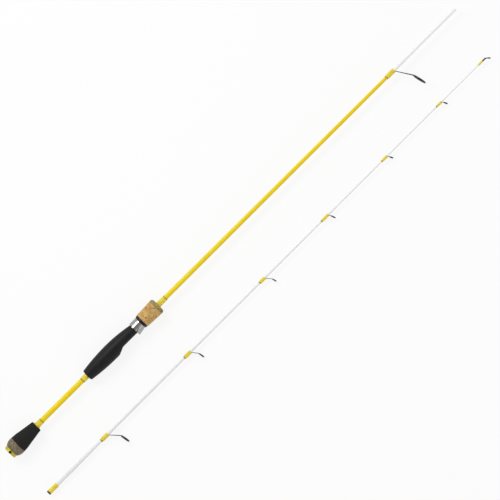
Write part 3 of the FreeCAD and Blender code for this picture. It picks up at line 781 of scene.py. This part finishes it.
def threadTree():
    tree = bpy.data.node_groups.new("threadWinding", "GeometryNodeTree")
    identifiers = {}
    for name, kind in threadInputs.items():
        identifiers[name] = tree.interface.new_socket(name, in_out="INPUT", socket_type=kind).identifier
    tree.interface.new_socket("Geometry", in_out="OUTPUT", socket_type="NodeSocketGeometry")
    given = addNode(tree, "NodeGroupInput").outputs

    def calc(operation, first, second=0.0):
        return maths(tree, operation, first, second)

    length = calc("SUBTRACT", given["Front X"], given["Rear X"])
    turns = calc("DIVIDE", length, given["Pitch"])
    count = calc("CEIL", calc("MULTIPLY", turns, given["Points Per Turn"]))
    line = addNode(tree, "GeometryNodeCurvePrimitiveLine", {"End": (1, 0, 0)})
    inputs = {"Curve": line.outputs[0], "Count": count}
    points = addNode(tree, "GeometryNodeResampleCurve", inputs, mode="COUNT")
    index = addNode(tree, "GeometryNodeInputIndex").outputs[0]
    share = calc("DIVIDE", index, calc("SUBTRACT", count, 1.0))
    angle = calc("MULTIPLY", calc("MULTIPLY", share, turns), math.tau)
    along = calc("MULTIPLY", share, length)

    # The winding sinks a little in a quarter circle at each end.
    fromEnd = calc("MINIMUM", along, calc("SUBTRACT", length, along))
    near = calc("SUBTRACT", 1.0, calc("DIVIDE", fromEnd, given["End Length"]))
    near = calc("MAXIMUM", near, 0.0)
    level = calc("SQRT", calc("SUBTRACT", 1.0, calc("MULTIPLY", near, near)))
    drop = calc("MULTIPLY", given["End Drop"], calc("SUBTRACT", 1.0, level))
    taper = calc("SUBTRACT", given["Front Radius"], given["Rear Radius"])
    radius = calc("ADD", given["Rear Radius"], calc("MULTIPLY", taper, share))
    radius = calc("SUBTRACT", radius, drop)

    # In a keyway on the +Y side it goes below the surface.
    aside = calc("ABSOLUTE", calc("MULTIPLY", radius, calc("SINE", angle)))
    inKey = calc("LESS_THAN", aside, given["Key Half Width"])
    facing = calc("GREATER_THAN", calc("COSINE", angle), 0.0)
    sunk = calc("MULTIPLY", calc("MULTIPLY", inKey, facing), given["Key Depth"])
    radius = calc("SUBTRACT", radius, sunk)

    x = calc("ADD", given["Rear X"], along)
    y = calc("ADD", given["Axis Y"], calc("MULTIPLY", radius, calc("COSINE", angle)))
    z = calc("ADD", given["Axis Z"], calc("MULTIPLY", radius, calc("SINE", angle)))
    place = addNode(tree, "ShaderNodeCombineXYZ", {0: x, 1: y, 2: z}).outputs[0]
    helix = addNode(tree, "GeometryNodeSetPosition", {"Geometry": points.outputs[0], "Position": place})
    inputs = {"Resolution": given["Sides"], "Radius": given["Thread Radius"]}
    profile = addNode(tree, "GeometryNodeCurvePrimitiveCircle", inputs)
    inputs = {"Curve": helix.outputs[0], "Profile Curve": profile.outputs[0], "Fill Caps": True}
    skin = addNode(tree, "GeometryNodeCurveToMesh", inputs)
    smooth = addNode(tree, "GeometryNodeSetShadeSmooth", {"Geometry": skin.outputs[0]})
    real = addNode(tree, "GeometryNodeRealizeInstances", {"Geometry": smooth.outputs[0]})
    inputs = {"Geometry": real.outputs[0], "Material": given["Material"]}
    dressed = addNode(tree, "GeometryNodeSetMaterial", inputs)
    addNode(tree, "NodeGroupOutput", {"Geometry": dressed.outputs[0]})
    return tree, identifiers


def windThread(tree, identifiers, values):
    carrier = bpy.data.objects.new("carrier", bpy.data.meshes.new("carrier"))
    bpy.context.scene.collection.objects.link(carrier)
    modifier = carrier.modifiers.new("winding", "NODES")
    modifier.node_group = tree
    for name, value in values.items():
        modifier[identifiers[name]] = value
    evaluated = carrier.evaluated_get(bpy.context.evaluated_depsgraph_get())
    data = bpy.data.meshes.new_from_object(evaluated)
    carrier.modifiers.remove(modifier)
    bpy.data.objects.remove(carrier)
    return data


def joinMeshes(parts, name):
    mesh = bmesh.new()
    for part in parts:
        mesh.from_mesh(part)
        bpy.data.meshes.remove(part)
    return finishMesh(mesh, name, crisp=180)


def surfaceRadius(name, middleX, axisY, axisZ):
    # The wrap's largest radius in its rear half and in its front half.
    rear = front = 0.0
    for vertex in nodes[name].data.vertices:
        reach = math.hypot(vertex.co.y - axisY, vertex.co.z - axisZ)
        if vertex.co.x < middleX:
            rear = max(rear, reach)
        else:
            front = max(front, reach)
    return rear, front


def wrapThread(name):
    low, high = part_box(name)
    axisY, axisZ = (low.y + high.y) / 2, (low.z + high.z) / 2
    rear, front = surfaceRadius(name, (low.x + high.x) / 2, axisY, axisZ)
    return {
        "Rear X": low.x + winding["thread"],
        "Front X": high.x - winding["thread"],
        "Axis Y": axisY,
        "Axis Z": axisZ,
        "Rear Radius": rear + winding["proud"] - winding["thread"],
        "Front Radius": front + winding["proud"] - winding["thread"],
        "Pitch": winding["pitch"],
        "Thread Radius": winding["thread"],
        "End Length": winding["ends"],
        "End Drop": winding["endDrop"],
        "Key Half Width": 0.0,
        "Key Depth": 0.0,
        "Points Per Turn": winding["points"],
        "Sides": winding["sides"],
        "Material": finishes["gold_thread"],
    }


def windWraps(tree, identifiers):
    for body, section in bodies.items():
        wraps = [name for name in section if name.endswith("_wrap")]
        parts = [windThread(tree, identifiers, wrapThread(name)) for name in wraps]
        if parts:
            newPiece(joinMeshes(parts, "binding_thread_" + body), body, "gold_thread")


def cutScrew(tree, identifiers):
    low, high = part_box("reel_seat")
    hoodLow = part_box("sliding_hood")[0]
    axis = (low.z + high.z) / 2  # of the barrel, the same along Y
    centreLine = screw["barrelRadius"] - screw["depth"]
    values = {
        "Rear X": hoodLow.x + screw["inset"],
        "Front X": high.x - screw["inset"],
        "Axis Y": axis,
        "Axis Z": axis,
        "Rear Radius": centreLine,
        "Front Radius": centreLine,
        "Pitch": screw["pitch"],
        "Thread Radius": screw["thread"],
        "End Length": screw["inset"],
        "End Drop": screw["thread"],
        "Key Half Width": screw["keyHalfWidth"],
        "Key Depth": screw["keyDepth"],
        "Points Per Turn": screw["points"],
        "Sides": winding["sides"],
        "Material": finishes["seat_black"],
    }
    data = windThread(tree, identifiers, values)
    data.name = "screw_thread"
    newPiece(data, "butt_section", "seat_black")


threads = threadTree()
windWraps(*threads)
cutScrew(*threads)
print("threads wound")


# Foregrip of natural cork, with its pits cut into the surface

corkForm = {
    "bore": 8.65 * mm,
    "edge": 2.2 * mm,  # length of the rounded rear edge
    "edgeRise": 0.6 * mm,
    "rearStep": 0.1 * mm,  # above the lock nut
    "rearFlat": 0.44 * mm,  # of the rear face, below its rounded edge
    "pitsFrom": 0.22 * mm,  # below the rounded edge
    "seam": 0.08 * mm,  # groove at the joint with the end cap
    "step": 0.45 * mm,
    "segments": 190,
    "pitLength": 2.6 * mm,
    "pitWidth": 1.5 * mm,
    "pitStart": 0.38,
    "pitRange": 0.22,
    "pitDepth": 0.32 * mm,
    "crumbShare": 0.35,  # of the smaller unevenness in a pit's outline
    "crumbFineness": 2.7,
}


def corkPit(point):
    # 0 on the sound surface, up to 1 at the bottom of a pit.
    wide = corkForm["pitWidth"]
    place = Vector((point.x / corkForm["pitLength"], point.y / wide, point.z / wide))
    crumbs = perlin.noise(place * corkForm["crumbFineness"])
    depth = perlin.noise(place) + corkForm["crumbShare"] * crumbs
    return min(max((depth - corkForm["pitStart"]) / corkForm["pitRange"], 0.0), 1.0)


def makeCorkGrip():
    low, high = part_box("foregrip_cork")
    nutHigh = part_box("lock_nut")[1]
    bore, edge, rise = corkForm["bore"], corkForm["edge"], corkForm["edgeRise"]
    rear, front = nutHigh.z + corkForm["rearStep"], high.z
    shoulder = rear + rise
    profile = [(low.x, bore), (low.x, rear - corkForm["rearFlat"])]
    profile += [(low.x + edge * (1 - math.cos(a)), rear + rise * math.sin(a)) for a in arcSteps(0, 90, 6)]
    length = high.x - low.x - edge
    steps = int(length / corkForm["step"])
    for step in range(1, steps + 1):
        share = step / steps
        x = low.x + edge + length * share
        near = max(0.0, 1 - abs(high.x - x) / corkForm["step"])
        profile.append((x, shoulder + (front - shoulder) * share - corkForm["seam"] * near))
    profile.append((high.x, bore))

    def pits(point):
        return corkPit(point) if math.hypot(point.y, point.z) > rear - corkForm["pitsFrom"] else 0.0

    mesh = bmesh.new()
    lathe(mesh, profile, Vector(), corkForm["segments"], pitAt=pits, pitDepth=corkForm["pitDepth"])
    newPiece(finishMesh(mesh, "foregrip_cork_pitted"), bodyOf["foregrip_cork"], "tan_cork", "foregrip_cork")


makeCorkGrip()
print("cork turned")


# Eased edges: copies of the hard pieces whose edges catch the light

easedEdges = {
    "butt_cap": 0.25 * mm,
    "reel_seat": 0.35 * mm,
    "sliding_hood": 0.16 * mm,
    "lock_nut": 0.25 * mm,
    "hood_cushion": 0.15 * mm,
}
easing = {
    "weld": 0.001 * mm,
    "flat": 0.3,  # degrees, up to which faces are joined
    "sharp": 35,  # degrees, from which an edge is eased
    "segments": 3,
    "crisp": 30,  # degrees, from which an edge still shows
}


def weightNormals(data):
    # Lets the broad faces set the shading, so that it runs evenly up to the eased edges.
    carrier = bpy.data.objects.new("carrier", data)
    bpy.context.scene.collection.objects.link(carrier)
    modifier = carrier.modifiers.new("normals", "WEIGHTED_NORMAL")
    modifier.keep_sharp = True
    evaluated = carrier.evaluated_get(bpy.context.evaluated_depsgraph_get())
    weighted = bpy.data.meshes.new_from_object(evaluated)
    carrier.modifiers.remove(modifier)
    bpy.data.objects.remove(carrier)
    name = data.name
    bpy.data.meshes.remove(data)
    weighted.name = name
    return weighted


def easeEdges(name, width):
    mesh = bmesh.new()
    mesh.from_mesh(nodes[name].data)
    flat, sharp = math.radians(easing["flat"]), math.radians(easing["sharp"])
    bmesh.ops.remove_doubles(mesh, verts=mesh.verts, dist=easing["weld"])
    bmesh.ops.dissolve_limit(mesh, angle_limit=flat, verts=mesh.verts, edges=mesh.edges)
    hard = [edge for edge in mesh.edges if edge.calc_face_angle(0) > sharp]
    bmesh.ops.bevel(
        mesh, geom=hard, offset=width, segments=easing["segments"], profile=0.5, clamp_overlap=True
    )
    eased = weightNormals(finishMesh(mesh, name + "_eased", easing["crisp"]))
    newPiece(eased, bodyOf[name], slotOf[name], name)


for name, width in easedEdges.items():
    easeEdges(name, width)
print("edges eased:", len(easedEdges))


# Floor, light and camera

room = {
    "floorSize": 40.0,
    "floorWhite": 0.9,
    "floorShow": 0.85,  # how much of the floor's white is its own
    "horizon": 1.0,  # strength of the sky there, and at the zenith
    "zenith": 0.38,
    "bandHeight": 0.25,  # from which the sky darkens towards the zenith
    "lamps": {
        # place, size, power
        "key": ((0.3, 1.5, 1.7), 0.8, 20.5),
        "fill": ((0.9, -1.8, 1.4), 1.6, 3.0),
    },
    "camera": (0.4639, -0.0383),
    "distance": 5.0,
    "width": 0.740,  # of the view, at the rod
    "sensor": 36.0,
    "roll": 44.88,
    "farClip": 100.0,
}


def shownRay(tree):
    # 1 for what is seen directly, mirrored or through something clear.
    path = addNode(tree, "ShaderNodeLightPath").outputs
    mirrored = maths(tree, "MAXIMUM", path["Is Glossy Ray"], path["Is Transmission Ray"])
    return maths(tree, "MAXIMUM", path["Is Camera Ray"], mirrored)


def makeSky(scene):
    world = bpy.data.worlds.new("studio")
    scene.world = world
    world.use_nodes = True
    tree = world.node_tree
    tree.nodes.clear()
    direction = addNode(tree, "ShaderNodeTexCoord").outputs["Generated"]
    height = addNode(tree, "ShaderNodeSeparateXYZ", {0: direction}).outputs[2]
    strength = remap(tree, height, room["horizon"], room["zenith"], room["bandHeight"], 1.0)
    sky = addNode(tree, "ShaderNodeBackground", {"Color": (1, 1, 1, 1), "Strength": strength})
    addNode(tree, "ShaderNodeOutputWorld", {0: sky.outputs[0]})


def makeFloor(scene):
    floorMesh = bpy.data.meshes.new("floor")
    half = room["floorSize"] / 2
    corners = [(-half, -half), (half, -half), (half, half), (-half, half)]
    floorMesh.from_pydata([(x, y, cadLow.z) for x, y in corners], [], [(0, 1, 2, 3)])
    floor = bpy.data.objects.new("floor", floorMesh)
    scene.collection.objects.link(floor)
    material = bpy.data.materials.new("paleFloor")
    material.use_nodes = True
    tree = material.node_tree
    tree.nodes.clear()
    white = room["floorWhite"]
    matt = addNode(tree, "ShaderNodeBsdfDiffuse", {"Color": (white, white, white, 1)})
    own = addNode(tree, "ShaderNodeEmission", {"Color": (1, 1, 1, 1), "Strength": 1.0})
    share = maths(tree, "MULTIPLY", shownRay(tree), room["floorShow"])
    mixed = addNode(tree, "ShaderNodeMixShader", {0: share, 1: matt.outputs[0], 2: own.outputs[0]})
    addNode(tree, "ShaderNodeOutputMaterial", {0: mixed.outputs[0]})
    floorMesh.materials.append(material)


def hangLamps(scene):
    for name, (place, size, power) in room["lamps"].items():
        lamp = bpy.data.lights.new(name, "AREA")
        lamp.shape = "SQUARE"
        lamp.size = size
        lamp.energy = power
        holder = bpy.data.objects.new(name, lamp)
        holder.location = place
        aim = Vector((room["camera"][0], 0, 0)) - Vector(place)
        holder.rotation_euler = aim.to_track_quat("-Z", "Y").to_euler()
        scene.collection.objects.link(holder)


def placeCamera(scene):
    camera = bpy.data.cameras.new("camera")
    camera.sensor_width = room["sensor"]
    camera.lens = room["sensor"] * room["distance"] / room["width"]
    camera.clip_end = room["farClip"]
    eye = bpy.data.objects.new("camera", camera)
    eye.location = (*room["camera"], room["distance"])
    # The butt section runs to the upper right of the view.
    eye.rotation_euler = (0, 0, math.radians(-room["roll"]))
    scene.collection.objects.link(eye)
    scene.camera = eye


def makeRoom(scene):
    scene.view_settings.view_transform = "Standard"
    makeSky(scene)
    makeFloor(scene)
    hangLamps(scene)
    placeCamera(scene)


makeRoom(bpy.context.scene)
print("room and camera set")
